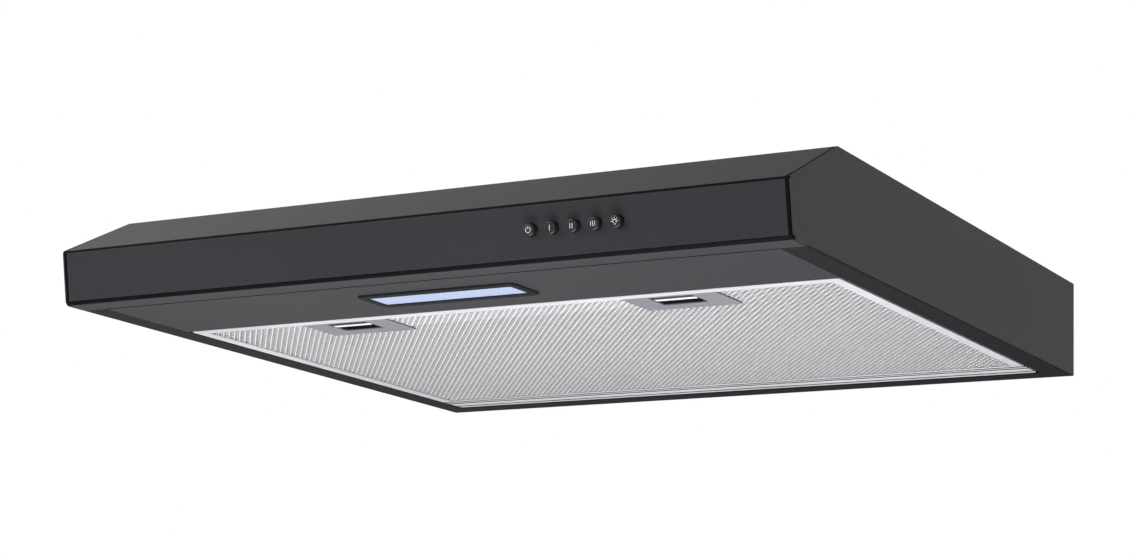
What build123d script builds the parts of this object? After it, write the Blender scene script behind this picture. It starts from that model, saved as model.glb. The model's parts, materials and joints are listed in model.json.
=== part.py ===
from build123d import *
import os
from math import atan2, cos, radians, sin

os.makedirs("parts", exist_ok=True)

# Under-cabinet range hood, millimetres. +X is the hood's right, -Y its front, +Z up.
# The origin is the centre of the four cabinet screw holes, on the top plate's outer face.

# ---- driving dimensions -------------------------------------------------------------
WIDTH = 600.0
DEPTH = 510.0
HEIGHT = 76.0
SHEET = 1.0
SCREWS_TO_FRONT = 290.0
FASCIA_HEIGHT = 39.0
FASCIA_LEAN = 8.4
SLOPE_RUN = 67.0
SIDE_FLANGE = 20.0
FRONT_FLANGE = 19.6
REAR_LIP = 18.5

CABINET_SPACING_X = 500.0
CABINET_SPACING_Y = 160.0
CABINET_HOLE_R = 2.75

DUCT_R = 60.0
DUCT_WALL = 1.5
DUCT_Y = 146.0
COLLAR_HEIGHT = 38.0
FLAP_Z = 10.0

FILTER_WIDTH = 555.0
FILTER_DEPTH = 366.0
FILTER_THICK = 9.0
FILTER_REAR_Y = 196.0

LATCH_X = 140.0
LATCH_WIDTH = 76.0
LATCH_DEPTH = 42.0
LATCH_SETBACK = 9.0
LATCH_TRAVEL = 6.0

LAMP_X = -6.0
LAMP_SETBACK = 73.0
LAMP_LENGTH = 134.0
LAMP_DEPTH = 38.0

BUTTON_COUNT = 5
BUTTON_PITCH = 16.6
BUTTON_MIDDLE_X = 140.8
BUTTON_HEIGHT = 21.4
BUTTON_R = 4.2
BUTTON_PROUD = 4.8
BUTTON_TRAVEL = 2.5
SEAM = 0.8

FAN_Y = -50.0
FAN_TOP_Z = -6.0
FAN_FLOOR_Z = -62.0
FAN_WALL = 1.2
SCROLL_R_MIN = 92.0
SCROLL_R_MAX = 122.0
SCROLL_START = 50.0
SCROLL_STEPS = 5
OUTLET_Y = 84.0
WHEEL_R = 85.0
BLADE_COUNT = 32

# ---- places worked out from them ----------------------------------------------------
BOTTOM = -HEIGHT
HALF = WIDTH / 2
FRONT_Y = -SCREWS_TO_FRONT
REAR_Y = FRONT_Y + DEPTH
SLOPE_TOP_Y = FRONT_Y + SLOPE_RUN
FASCIA_TOP_Z = BOTTOM + FASCIA_HEIGHT
FASCIA_FOOT_Y = FRONT_Y + FASCIA_LEAN
FLANGE_END_Y = FASCIA_FOOT_Y + FRONT_FLANGE
OPENING_HALF = HALF - SIDE_FLANGE
GAP = 0.4
FILTER_FRONT_Y = FILTER_REAR_Y - FILTER_DEPTH
PANEL_END_Y = FILTER_FRONT_Y - 1.2
FILTER_TOP_Z = BOTTOM + FILTER_THICK
LEAN_ANGLE = atan2(FASCIA_LEAN, FASCIA_HEIGHT)
BUTTON_Y = FRONT_Y + FASCIA_LEAN * (1 - BUTTON_HEIGHT / FASCIA_HEIGHT)
BUTTON_Z = BOTTOM + BUTTON_HEIGHT
BUTTON_XS = [BUTTON_MIDDLE_X + BUTTON_PITCH * (i - 2) for i in range(BUTTON_COUNT)]

# The fascia's outer face as a plane: x to the right, y up the face, z out of it.
FASCIA = Plane(
    origin=(0, BUTTON_Y, BUTTON_Z),
    x_dir=(1, 0, 0),
    z_dir=(0, -cos(LEAN_ANGLE), -sin(LEAN_ANGLE)),
)
BUTTON_SPOTS = [(x, 0) for x in BUTTON_XS]


def finish(piece, name):
    """Label a finished piece and write it as one STEP file."""
    piece.part.label = name
    export_step(piece.part, f"parts/{name}.step")


# ---- folded canopy: top, slope, leaning fascia and front bottom flange ----------------
def canopy_path(start_y, end_y):
    """The canopy's bent section, from the top's rear edge to an end on the bottom plane."""
    FilletPolyline(
        (start_y, 0),
        (SLOPE_TOP_Y, 0),
        (FRONT_Y, FASCIA_TOP_Z),
        (FASCIA_FOOT_Y, BOTTOM),
        (end_y, BOTTOM),
        radius=[4.0, 3.0, 4.5],
    )


CABLE_SPOT = (226.0, 130.0)
with BuildPart() as canopy_shell:
    with BuildSketch(Plane.YZ):
        with BuildLine():
            canopy_path(REAR_Y - SHEET, FLANGE_END_Y)
            offset(amount=SHEET, side=Side.LEFT)
        make_face()
    extrude(amount=HALF - SHEET - GAP, both=True)
    with GridLocations(CABINET_SPACING_X, CABINET_SPACING_Y, 2, 2):
        Hole(radius=CABINET_HOLE_R, depth=SHEET)
    with Locations((0, DUCT_Y)):
        Hole(radius=DUCT_R - DUCT_WALL, depth=SHEET)
        with PolarLocations(DUCT_R + 7, 4, start_angle=45):
            Hole(radius=1.7, depth=SHEET)
    with Locations(CABLE_SPOT):
        Hole(radius=9.0, depth=SHEET)
    with BuildSketch(FASCIA.offset(1)):
        with Locations(*BUTTON_SPOTS):
            Circle(BUTTON_R + GAP)
    extrude(amount=-SHEET - 2, mode=Mode.SUBTRACT)
finish(canopy_shell, "canopy_shell")


def side_panel(sign, name):
    """End plate with the canopy's outline, softened edges and an inward bottom flange."""
    with BuildPart() as panel:
        with BuildSketch(Plane.YZ.offset(sign * (HALF - SHEET))):
            with BuildLine():
                canopy_path(REAR_Y, REAR_Y)
                Line((REAR_Y, BOTTOM), (REAR_Y, 0))
            make_face()
        extrude(amount=sign * SHEET)
        fillet(panel.faces().filter_by(Axis.X).sort_by(Axis.X)[min(sign, 0)].edges(), radius=0.7)
        with BuildSketch(Plane.XY.offset(BOTTOM)):
            with Locations((sign * (OPENING_HALF + HALF - SHEET) / 2, (FLANGE_END_Y + REAR_Y - SHEET) / 2)):
                Rectangle(SIDE_FLANGE - SHEET, REAR_Y - SHEET - FLANGE_END_Y)
        extrude(amount=SHEET)
    finish(panel, name)


side_panel(-1, "side_panel_left")
side_panel(1, "side_panel_right")

# ---- rear panel with the return lip, the rear duct opening and its inner cover --------
REAR_DUCT = (200.0, 44.0)
REAR_DUCT_Z = -31.0
COVER_RIVETS = [(x, REAR_DUCT_Z) for x in (-103.8, 103.8)]
EDGE_RIVETS = [(x, z) for x in (8 - HALF, HALF - 8) for z in (-12, -38, -60)]
RIVET_R = 1.6
with BuildPart() as rear_panel:
    with BuildSketch(Plane.XZ.offset(-(REAR_Y - SHEET))):
        with Locations((0, BOTTOM / 2)):
            Rectangle(WIDTH - 2 * SHEET, HEIGHT)
        with Locations((0, REAR_DUCT_Z)):
            Rectangle(*REAR_DUCT, mode=Mode.SUBTRACT)
        with Locations(*EDGE_RIVETS, *COVER_RIVETS):
            Circle(RIVET_R, mode=Mode.SUBTRACT)
    extrude(amount=-SHEET)
    with BuildSketch(Plane.XY.offset(BOTTOM)):
        with Locations((0, REAR_Y - SHEET - REAR_LIP / 2)):
            Rectangle(2 * OPENING_HALF - 0.4, REAR_LIP)
    extrude(amount=SHEET)
finish(rear_panel, "rear_panel")

with BuildPart() as rear_duct_cover:
    with BuildSketch(Plane.XZ.offset(-(REAR_Y - 2 * SHEET))):
        with Locations((0, REAR_DUCT_Z)):
            RectangleRounded(REAR_DUCT[0] + 16, REAR_DUCT[1] + 10, 3)
        with Locations(*COVER_RIVETS):
            Circle(RIVET_R, mode=Mode.SUBTRACT)
    extrude(amount=-SHEET)
finish(rear_duct_cover, "rear_duct_cover")

# rivets flush with the rear face, their heads inside
with BuildPart() as panel_rivets:
    with BuildSketch(Plane.XZ.offset(-REAR_Y)):
        with Locations(*EDGE_RIVETS):
            Circle(RIVET_R)
    extrude(amount=SHEET)
    with BuildSketch(Plane.XZ.offset(-REAR_Y)):
        with Locations(*COVER_RIVETS):
            Circle(RIVET_R)
    extrude(amount=2 * SHEET)
    with BuildSketch(Plane.XZ.offset(-(REAR_Y - SHEET))):
        with Locations(*EDGE_RIVETS):
            Circle(2 * RIVET_R)
    extrude(amount=1.2)
    with BuildSketch(Plane.XZ.offset(-(REAR_Y - 2 * SHEET))):
        with Locations(*COVER_RIVETS):
            Circle(2 * RIVET_R)
    extrude(amount=0.8)
finish(panel_rivets, "panel_rivets")

# ---- lamp panel, joggled over the front flange, with an upturned rear flange ----------
LAMP_Y = FRONT_Y + LAMP_SETBACK
LAMP_CUT = (LAMP_LENGTH - 7, LAMP_DEPTH - 8)
TONGUE_Z = -71.0
with BuildPart() as lamp_panel:
    with BuildSketch(Plane.YZ):
        Polygon(
            (FLANGE_END_Y + SEAM, BOTTOM),
            (PANEL_END_Y, BOTTOM),
            (PANEL_END_Y, BOTTOM + 14),
            (PANEL_END_Y - SHEET, BOTTOM + 14),
            (PANEL_END_Y - SHEET, BOTTOM + SHEET),
            (FLANGE_END_Y + SEAM + SHEET, BOTTOM + SHEET),
            (FLANGE_END_Y + SEAM + SHEET, BOTTOM + 2 * SHEET),
            (FLANGE_END_Y - 8, BOTTOM + 2 * SHEET),
            (FLANGE_END_Y - 8, BOTTOM + SHEET),
            (FLANGE_END_Y + SEAM, BOTTOM + SHEET),
            align=None,
        )
    extrude(amount=OPENING_HALF - 0.3, both=True)
    with BuildSketch(Plane.XY.offset(BOTTOM)):
        with Locations((LAMP_X, LAMP_Y)):
            Rectangle(*LAMP_CUT)
    extrude(amount=SHEET, mode=Mode.SUBTRACT)
    with BuildSketch(Plane.XZ.offset(-(PANEL_END_Y - SHEET - 1))):
        with Locations((-LATCH_X, TONGUE_Z), (LATCH_X, TONGUE_Z)):
            Rectangle(26, 4)
    extrude(amount=-SHEET - 2, mode=Mode.SUBTRACT)
finish(lamp_panel, "lamp_panel")

# ---- lamp: bezel, diffuser, LED board, chips and housing ------------------------------
BEZEL_PROUD = 1.2
LENS = (121.0, 23.0)
SPIGOT_WALL = 1.2
with BuildPart() as lamp_bezel:
    with BuildSketch(Plane.XY.offset(BOTTOM - BEZEL_PROUD)):
        with Locations((LAMP_X, LAMP_Y)):
            RectangleRounded(LAMP_LENGTH, LAMP_DEPTH, 6)
    extrude(amount=BEZEL_PROUD)
    chamfer(lamp_bezel.edges().group_by(Axis.Z)[0], length=0.7)
    with BuildSketch(Plane.XY.offset(BOTTOM)):
        with Locations((LAMP_X, LAMP_Y)):
            Rectangle(LAMP_CUT[0] - 0.6, LAMP_CUT[1] - 0.6)
    extrude(amount=9)
    with BuildSketch(Plane.XY.offset(BOTTOM)):
        with Locations((LAMP_X, LAMP_Y)):
            Rectangle(LAMP_CUT[0] - 0.6 - 2 * SPIGOT_WALL, LAMP_CUT[1] - 0.6 - 2 * SPIGOT_WALL)
    extrude(amount=9, mode=Mode.SUBTRACT)
    with BuildSketch(Plane.XY.offset(BOTTOM - BEZEL_PROUD)):
        with Locations((LAMP_X, LAMP_Y)):
            RectangleRounded(*LENS, 2)
    extrude(amount=BEZEL_PROUD, mode=Mode.SUBTRACT)
finish(lamp_bezel, "lamp_bezel")

with BuildPart() as lamp_diffuser:
    with BuildSketch(Plane.XY.offset(BOTTOM)):
        with Locations((LAMP_X, LAMP_Y)):
            Rectangle(LENS[0] + 2, LENS[1] + 2)
    extrude(amount=2)
    with BuildSketch(Plane.XY.offset(BOTTOM)):
        with Locations((LAMP_X, LAMP_Y)):
            RectangleRounded(LENS[0] - 0.4, LENS[1] - 0.4, 2)
    extrude(amount=-0.6)
finish(lamp_diffuser, "lamp_diffuser")

BOARD_Z = BOTTOM + 7.5
with BuildPart() as lamp_board:
    with BuildSketch(Plane.XY.offset(BOARD_Z)):
        with Locations((LAMP_X, LAMP_Y)):
            Rectangle(LENS[0] + 1, LENS[1] + 1)
    extrude(amount=1.4)
finish(lamp_board, "lamp_board")

with BuildPart() as lamp_chips:
    with BuildSketch(Plane.XY.offset(BOARD_Z)):
        with Locations((LAMP_X, LAMP_Y)):
            with GridLocations(13.5, 10, 8, 2):
                Rectangle(3.5, 2.8)
    extrude(amount=-0.8)
finish(lamp_chips, "lamp_chips")

HOUSING_TOP_Z = BOTTOM + 13
with BuildPart() as lamp_housing:
    with BuildSketch(Plane.XY.offset(BOTTOM + SHEET)):
        with Locations((LAMP_X, LAMP_Y)):
            RectangleRounded(LAMP_CUT[0] + 6, LAMP_CUT[1] + 6, 2)
    extrude(amount=HOUSING_TOP_Z - BOTTOM - SHEET)
    with BuildSketch(Plane.XY.offset(BOTTOM + SHEET)):
        with Locations((LAMP_X, LAMP_Y)):
            Rectangle(LAMP_CUT[0] + 1, LAMP_CUT[1] + 1)
    extrude(amount=HOUSING_TOP_Z - BOTTOM - 2 * SHEET, mode=Mode.SUBTRACT)
finish(lamp_housing, "lamp_housing")

# ---- grease filter: frame, two meshes, core, latches ----------------------------------
BORDER_FRONT = 9.0
BORDER_REAR = 28.0
BORDER_SIDE = 9.0
WINDOW = (FILTER_WIDTH - 2 * BORDER_SIDE, FILTER_DEPTH - BORDER_FRONT - BORDER_REAR)
WINDOW_Y = (FILTER_FRONT_Y + BORDER_FRONT + FILTER_REAR_Y - BORDER_REAR) / 2
FILTER_Y = (FILTER_FRONT_Y + FILTER_REAR_Y) / 2
HINGE_X = 205.0
HINGE_Y = FILTER_REAR_Y - 2
HINGE_Z = BOTTOM + 5
TONGUE_WIDTH = 20.0
TONGUE_THICK = 1.6
LATCH_SPOTS = [(-LATCH_X, 0), (LATCH_X, 0)]

with BuildPart() as filter_frame:
    with BuildSketch(Plane.XY.offset(BOTTOM)):
        with Locations((0, FILTER_Y)):
            RectangleRounded(FILTER_WIDTH, FILTER_DEPTH, 3)
    extrude(amount=FILTER_THICK)
    with BuildSketch(Plane.XY.offset(BOTTOM + SHEET)):
        with Locations((0, FILTER_Y)):
            Rectangle(FILTER_WIDTH - 2 * SHEET, FILTER_DEPTH - 2 * SHEET)
    extrude(amount=FILTER_THICK - 2 * SHEET, mode=Mode.SUBTRACT)
    with BuildSketch(Plane.XY.offset(BOTTOM)):
        with Locations((0, WINDOW_Y)):
            Rectangle(*WINDOW)
    extrude(amount=FILTER_THICK, mode=Mode.SUBTRACT)
    # three pressed grooves along the wide rear border
    with BuildSketch(Plane.XY.offset(BOTTOM)):
        with Locations(*[(0, FILTER_REAR_Y - 6.5 * i) for i in (1, 2, 3)]):
            Rectangle(FILTER_WIDTH - 8, 2.6)
    extrude(amount=0.7, mode=Mode.SUBTRACT)
    # slots for the latch tongues in the front wall
    with BuildSketch(Plane.XZ.offset(-(FILTER_FRONT_Y - 1))):
        with Locations((-LATCH_X, TONGUE_Z), (LATCH_X, TONGUE_Z)):
            Rectangle(TONGUE_WIDTH + 1.4, TONGUE_THICK + 1.4)
    extrude(amount=-3, mode=Mode.SUBTRACT)
    # notches above the bottom flange for the hinge brackets, and the bored lugs beside them
    with BuildSketch(Plane.XY.offset(BOTTOM + SHEET)):
        with Locations((-HINGE_X - 2, FILTER_REAR_Y - 4), (HINGE_X + 2, FILTER_REAR_Y - 4)):
            Rectangle(7, 10)
    extrude(amount=FILTER_THICK, mode=Mode.SUBTRACT)
    for sign in (-1, 1):
        with BuildSketch(Plane.YZ.offset(sign * (HINGE_X - 2.2))):
            with Locations((HINGE_Y, HINGE_Z)):
                Circle(2.8)
        extrude(amount=-sign * 4)
        with BuildSketch(Plane.YZ.offset(sign * (HINGE_X - 1))):
            with Locations((HINGE_Y, HINGE_Z)):
                Circle(1.55)
        extrude(amount=-sign * 8, mode=Mode.SUBTRACT)
finish(filter_frame, "filter_frame")

MESH_SIZE = (FILTER_WIDTH - 2 * SHEET - 0.6, FILTER_DEPTH - 2 * SHEET - 0.6)
CUP = (40.0, 29.0)
CUP_WALL = 0.8
LATCH_FRONT_Y = FILTER_FRONT_Y + LATCH_SETBACK
CUP_Y = LATCH_FRONT_Y + 1.6 + CUP[1] / 2
CUP_TOP_Z = FILTER_TOP_Z - SHEET - 0.4


def filter_layer(name, low, high):
    """One sheet of the filter, with room for the latch cups and the hinge notches."""
    with BuildPart() as layer:
        with BuildSketch(Plane.XY.offset(low)):
            with Locations((0, FILTER_Y)):
                Rectangle(*MESH_SIZE)
            with Locations((-LATCH_X, CUP_Y), (LATCH_X, CUP_Y)):
                Rectangle(CUP[0] + 0.6, CUP[1] + 0.6, mode=Mode.SUBTRACT)
            with Locations((-LATCH_X, FILTER_FRONT_Y), (LATCH_X, FILTER_FRONT_Y)):
                Rectangle(TONGUE_WIDTH + 1.4, 24, mode=Mode.SUBTRACT)
            with Locations((-HINGE_X, FILTER_REAR_Y), (HINGE_X, FILTER_REAR_Y)):
                Rectangle(18, 24, mode=Mode.SUBTRACT)
        extrude(amount=high - low)
    finish(layer, name)


MESH_LOW_Z = BOTTOM + SHEET
CORE_LOW_Z = MESH_LOW_Z + 1.2
CORE_TOP_Z = FILTER_TOP_Z - SHEET - 1.2
filter_layer("filter_mesh_lower", MESH_LOW_Z, CORE_LOW_Z)
filter_layer("filter_core", CORE_LOW_Z, CORE_TOP_Z)
filter_layer("filter_mesh_upper", CORE_TOP_Z, FILTER_TOP_Z - SHEET)

SLOT = (36.0, 25.0)
PLATE_THICK = 0.8


def latch(sign, side):
    """Latch plate with its finger cup, and the sliding tab with its tongue."""
    x = sign * LATCH_X
    with BuildPart() as plate:
        with BuildSketch(Plane.XY.offset(BOTTOM + 0.1)):
            with Locations((x, LATCH_FRONT_Y + LATCH_DEPTH / 2)):
                RectangleRounded(LATCH_WIDTH, LATCH_DEPTH, 2)
        extrude(amount=PLATE_THICK)
        with BuildSketch(Plane.XY.offset(BOTTOM + 0.1)):
            with Locations((x, CUP_Y)):
                Rectangle(*CUP)
        extrude(amount=CUP_TOP_Z - BOTTOM - 0.1)
        with BuildSketch(Plane.XY.offset(BOTTOM + 0.1)):
            with Locations((x, CUP_Y)):
                RectangleRounded(*SLOT, 2)
        extrude(amount=CUP_TOP_Z - BOTTOM - 0.1 - CUP_WALL, mode=Mode.SUBTRACT)
        with BuildSketch(Plane.XZ.offset(-(CUP_Y - CUP[1] / 2 - 1))):
            with Locations((x, TONGUE_Z)):
                Rectangle(TONGUE_WIDTH + 0.8, TONGUE_THICK + 0.8)
        extrude(amount=-6, mode=Mode.SUBTRACT)
    finish(plate, f"latch_plate_{side}")

    tab_front = CUP_Y - SLOT[1] / 2 + 3.8
    with BuildPart() as slider:
        with BuildSketch(Plane.XY.offset(BOTTOM + 0.1)):
            with Locations((x, tab_front + 4)):
                RectangleRounded(SLOT[0] - 2, 8, 1.5)
        extrude(amount=TONGUE_Z + TONGUE_THICK / 2 - BOTTOM - 0.1)
        fillet(slider.edges().group_by(Axis.Z)[0], radius=1.0)
        with BuildSketch(Plane.XY.offset(TONGUE_Z - TONGUE_THICK / 2)):
            with Locations((x, (FILTER_FRONT_Y + 0.2 + tab_front + 1) / 2)):
                Rectangle(TONGUE_WIDTH, tab_front + 1 - FILTER_FRONT_Y - 0.2)
        extrude(amount=TONGUE_THICK)
    finish(slider, f"latch_slider_{side}")


latch(-1, "left")
latch(1, "right")

# ---- filter hinge: two brackets on the rear panel with a pin each ---------------------
with BuildPart() as filter_hinge_brackets:
    for sign in (-1, 1):
        with BuildSketch(Plane.YZ.offset(sign * (HINGE_X + 1))):
            with Locations(((HINGE_Y - 1 + REAR_Y - SHEET) / 2, HINGE_Z + 6)):
                Rectangle(REAR_Y - SHEET - HINGE_Y + 1, 8)
            with Locations((HINGE_Y, HINGE_Z)):
                Circle(2.8)
                Circle(1.5, mode=Mode.SUBTRACT)
        extrude(amount=sign * 2)
        with BuildSketch(Plane.XZ.offset(-(REAR_Y - SHEET))):
            with Locations((sign * (HINGE_X + 8), HINGE_Z + 6)):
                Rectangle(14, 14)
        extrude(amount=1.5)
finish(filter_hinge_brackets, "filter_hinge_brackets")

with BuildPart() as filter_hinge_pins:
    for sign in (-1, 1):
        with BuildSketch(Plane.YZ.offset(sign * (HINGE_X - 6.2))):
            with Locations((HINGE_Y, HINGE_Z)):
                Circle(1.5)
        extrude(amount=sign * 10.2)
finish(filter_hinge_pins, "filter_hinge_pins")

# ---- push buttons, switch housing, bracket and contact domes --------------------------
RIM_GAP = SHEET + 0.4
for number, spot in enumerate(BUTTON_SPOTS, start=1):
    with BuildPart() as button:
        with BuildSketch(FASCIA.offset(BUTTON_PROUD)):
            with Locations(spot):
                Circle(BUTTON_R)
        extrude(amount=-BUTTON_PROUD - 4.5)
        outer = button.faces().sort_by(Axis((0, 0, 0), (0, -cos(LEAN_ANGLE), -sin(LEAN_ANGLE))))[-1]
        fillet(outer.edges(), radius=0.7)
        with BuildSketch(FASCIA.offset(-RIM_GAP)):
            with Locations(spot):
                Circle(BUTTON_R + 1.2)
        extrude(amount=-1.4)
        with BuildSketch(FASCIA.offset(-4.5)):
            with Locations(spot):
                Circle(2.6)
        extrude(amount=-9)
    finish(button, f"button_{number}")

STEM_END = 13.5
SWITCH_FACE = 8.5
SWITCH_DEPTH = 14.0
SWITCH_WIDTH = BUTTON_PITCH * BUTTON_COUNT + 4
BORE_FLOOR = STEM_END + BUTTON_TRAVEL + 1.2
with BuildPart() as switch_housing:
    with BuildSketch(FASCIA.offset(-SWITCH_FACE)):
        with Locations((BUTTON_MIDDLE_X, 0)):
            RectangleRounded(SWITCH_WIDTH, 15, 1.5)
    extrude(amount=-SWITCH_DEPTH)
    with BuildSketch(FASCIA.offset(-SWITCH_FACE)):
        with Locations(*BUTTON_SPOTS):
            Circle(3.1)
    extrude(amount=-(BORE_FLOOR - SWITCH_FACE), mode=Mode.SUBTRACT)
finish(switch_housing, "switch_housing")

with BuildPart() as switch_contacts:
    with BuildSketch(FASCIA.offset(-BORE_FLOOR)):
        with Locations(*BUTTON_SPOTS):
            Circle(2.4)
    extrude(amount=0.8)
finish(switch_contacts, "switch_contacts")

with BuildPart() as switch_bracket:
    with BuildSketch(FASCIA.offset(-SWITCH_FACE + 1.2)):
        with Locations((BUTTON_MIDDLE_X, 0)):
            Rectangle(SWITCH_WIDTH + 18, 15)
        with Locations(*BUTTON_SPOTS):
            Circle(3.6, mode=Mode.SUBTRACT)
    extrude(amount=-1.2)
    with BuildSketch(FASCIA.offset(-SHEET)):
        for sign in (-1, 1):
            with Locations((BUTTON_MIDDLE_X + sign * (SWITCH_WIDTH / 2 + 7), 0)):
                Rectangle(4, 15)
    extrude(amount=-SWITCH_FACE + SHEET + 1.2)
finish(switch_bracket, "switch_bracket")


# ---- blower: scroll housing, floor, guard, wheel, motor --------------------------------
def scroll_point(angle):
    """Point of the scroll: its radius grows evenly with the angle round the fan's axis."""
    share = (angle - SCROLL_START) / (360 - SCROLL_START)
    radius = SCROLL_R_MIN + (SCROLL_R_MAX - SCROLL_R_MIN) * share
    return (radius * cos(radians(angle)), FAN_Y + radius * sin(radians(angle)))


def scroll_outline(outlet_y):
    """Closed outline of the scroll and its straight outlet, drawn in the current sketch line."""
    step = (360 - SCROLL_START) / SCROLL_STEPS
    for i in range(SCROLL_STEPS):
        angle = SCROLL_START + i * step
        ThreePointArc(scroll_point(angle), scroll_point(angle + step / 2), scroll_point(angle + step))
    start = scroll_point(SCROLL_START)
    Polyline((SCROLL_R_MAX, FAN_Y), (SCROLL_R_MAX, outlet_y), (start[0], outlet_y), start)


LUG_SPOTS = []
for lug_angle in (150, 235, 320):
    px, py = scroll_point(lug_angle)
    LUG_SPOTS.append((px + 7 * cos(radians(lug_angle)), py + 7 * sin(radians(lug_angle))))
LUG_SPOTS.append((scroll_point(SCROLL_START)[0] - 6, 60.0))
MOTOR_SCREWS_R = 54.0

with BuildPart() as blower_housing:
    with BuildSketch(Plane.XY.offset(FAN_FLOOR_Z)):
        with BuildLine():
            scroll_outline(OUTLET_Y)
        make_face()
        offset(amount=FAN_WALL)
    extrude(amount=FAN_TOP_Z - FAN_FLOOR_Z)
    with BuildSketch(Plane.XY.offset(FAN_FLOOR_Z)):
        with BuildLine():
            scroll_outline(OUTLET_Y + 4)
        make_face()
    extrude(amount=FAN_TOP_Z - FAN_FLOOR_Z - FAN_WALL, mode=Mode.SUBTRACT)
    with BuildSketch(Plane.XY.offset(FAN_TOP_Z - FAN_WALL)):
        with Locations(*LUG_SPOTS):
            Circle(8)
    extrude(amount=FAN_WALL)
    with BuildSketch(Plane.XY.offset(FAN_TOP_Z)):
        with Locations(*LUG_SPOTS):
            Circle(2.2)
        with Locations((0, FAN_Y)):
            with PolarLocations(MOTOR_SCREWS_R, 3, start_angle=90):
                Circle(4.0)
        with Locations((30, FAN_Y)):
            Circle(2.6)
    extrude(amount=-FAN_WALL, mode=Mode.SUBTRACT)
finish(blower_housing, "blower_housing")

with BuildPart() as blower_floor:
    with BuildSketch(Plane.XY.offset(FAN_FLOOR_Z - FAN_WALL)):
        with BuildLine():
            scroll_outline(OUTLET_Y)
        make_face()
        offset(amount=FAN_WALL)
        with Locations((0, FAN_Y)):
            Circle(68, mode=Mode.SUBTRACT)
    extrude(amount=FAN_WALL)
finish(blower_floor, "blower_floor")

GUARD_Z = FAN_FLOOR_Z - FAN_WALL
with BuildPart() as inlet_guard:
    with BuildSketch(Plane.XY.offset(GUARD_Z - 1.6)):
        with Locations((0, FAN_Y)):
            Circle(77)
            Circle(70, mode=Mode.SUBTRACT)
            for ring_r in (62, 50, 38, 26, 14):
                Circle(ring_r)
                Circle(ring_r - 1.8, mode=Mode.SUBTRACT)
            with PolarLocations(41.5, 6):
                Rectangle(60, 2)
    extrude(amount=1.6)
finish(inlet_guard, "inlet_guard")

BLADE_TOP_Z = -12.0
BLADE_LOW_Z = -58.0
SHAFT_R = 4.0
HUB_TOP_Z = -32.0
with BuildPart() as impeller:
    with BuildSketch(Plane.XY.offset(BLADE_LOW_Z)):
        with Locations((0, FAN_Y)):
            with PolarLocations(WHEEL_R - 8.5, BLADE_COUNT):
                Rectangle(17.5, 1.2, rotation=28)
    extrude(amount=BLADE_TOP_Z - BLADE_LOW_Z)
    for ring_z in (BLADE_LOW_Z, BLADE_TOP_Z - 2):
        with BuildSketch(Plane.XY.offset(ring_z)):
            with Locations((0, FAN_Y)):
                Circle(WHEEL_R + 1)
                Circle(WHEEL_R - 4, mode=Mode.SUBTRACT)
        extrude(amount=2)
finish(impeller, "impeller")

DISC_R = WHEEL_R - 16.7
with BuildPart() as impeller_disc:
    with BuildSketch(Plane.XY.offset(HUB_TOP_Z - 4)):
        with Locations((0, FAN_Y)):
            Circle(DISC_R)
    extrude(amount=1.6)
    with BuildSketch(Plane.XY.offset(HUB_TOP_Z - 16)):
        with Locations((0, FAN_Y)):
            Circle(10)
    extrude(amount=15)
    with BuildSketch(Plane.XY.offset(HUB_TOP_Z)):
        with Locations((0, FAN_Y)):
            Circle(SHAFT_R)
    extrude(amount=-20, mode=Mode.SUBTRACT)
finish(impeller_disc, "impeller_disc")

MOTOR_R = 46.0
MOTOR_LOW_Z = HUB_TOP_Z + 1.5
PLATE_LOW_Z = FAN_TOP_Z - FAN_WALL - 3.0
with BuildPart() as motor_shaft:
    with BuildSketch(Plane.XY.offset(HUB_TOP_Z - 20)):
        with Locations((0, FAN_Y)):
            Circle(SHAFT_R)
    extrude(amount=38)
finish(motor_shaft, "motor_shaft")

with BuildPart() as shaft_nut:
    with BuildSketch(Plane.XY.offset(HUB_TOP_Z - 19.5)):
        with Locations((0, FAN_Y)):
            RegularPolygon(6.5, 6)
            Circle(SHAFT_R, mode=Mode.SUBTRACT)
    extrude(amount=3.5)
finish(shaft_nut, "shaft_nut")

with BuildPart() as motor_body:
    with BuildSketch(Plane.XY.offset(MOTOR_LOW_Z)):
        with Locations((0, FAN_Y)):
            Circle(MOTOR_R)
    extrude(amount=PLATE_LOW_Z - MOTOR_LOW_Z)
    fillet(motor_body.edges().group_by(Axis.Z)[0], radius=4)
    with BuildSketch(Plane.XY.offset(MOTOR_LOW_Z)):
        with Locations((0, FAN_Y)):
            Circle(SHAFT_R + 0.05)
    extrude(amount=PLATE_LOW_Z - MOTOR_LOW_Z - 3, mode=Mode.SUBTRACT)
    with BuildSketch(Plane.XY.offset(MOTOR_LOW_Z)):
        with Locations((0, FAN_Y)):
            with PolarLocations(28, 8):
                SlotOverall(16, 4)
    extrude(amount=2.5, mode=Mode.SUBTRACT)
finish(motor_body, "motor_body")

with BuildPart() as motor_plate:
    with BuildSketch(Plane.XY.offset(PLATE_LOW_Z)):
        with Locations((0, FAN_Y)):
            Circle(62)
            with PolarLocations(MOTOR_SCREWS_R, 3, start_angle=90):
                Circle(3.4, mode=Mode.SUBTRACT)
        with Locations((30, FAN_Y)):
            Circle(2.6, mode=Mode.SUBTRACT)
    extrude(amount=1.5)
finish(motor_plate, "motor_plate")

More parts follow.
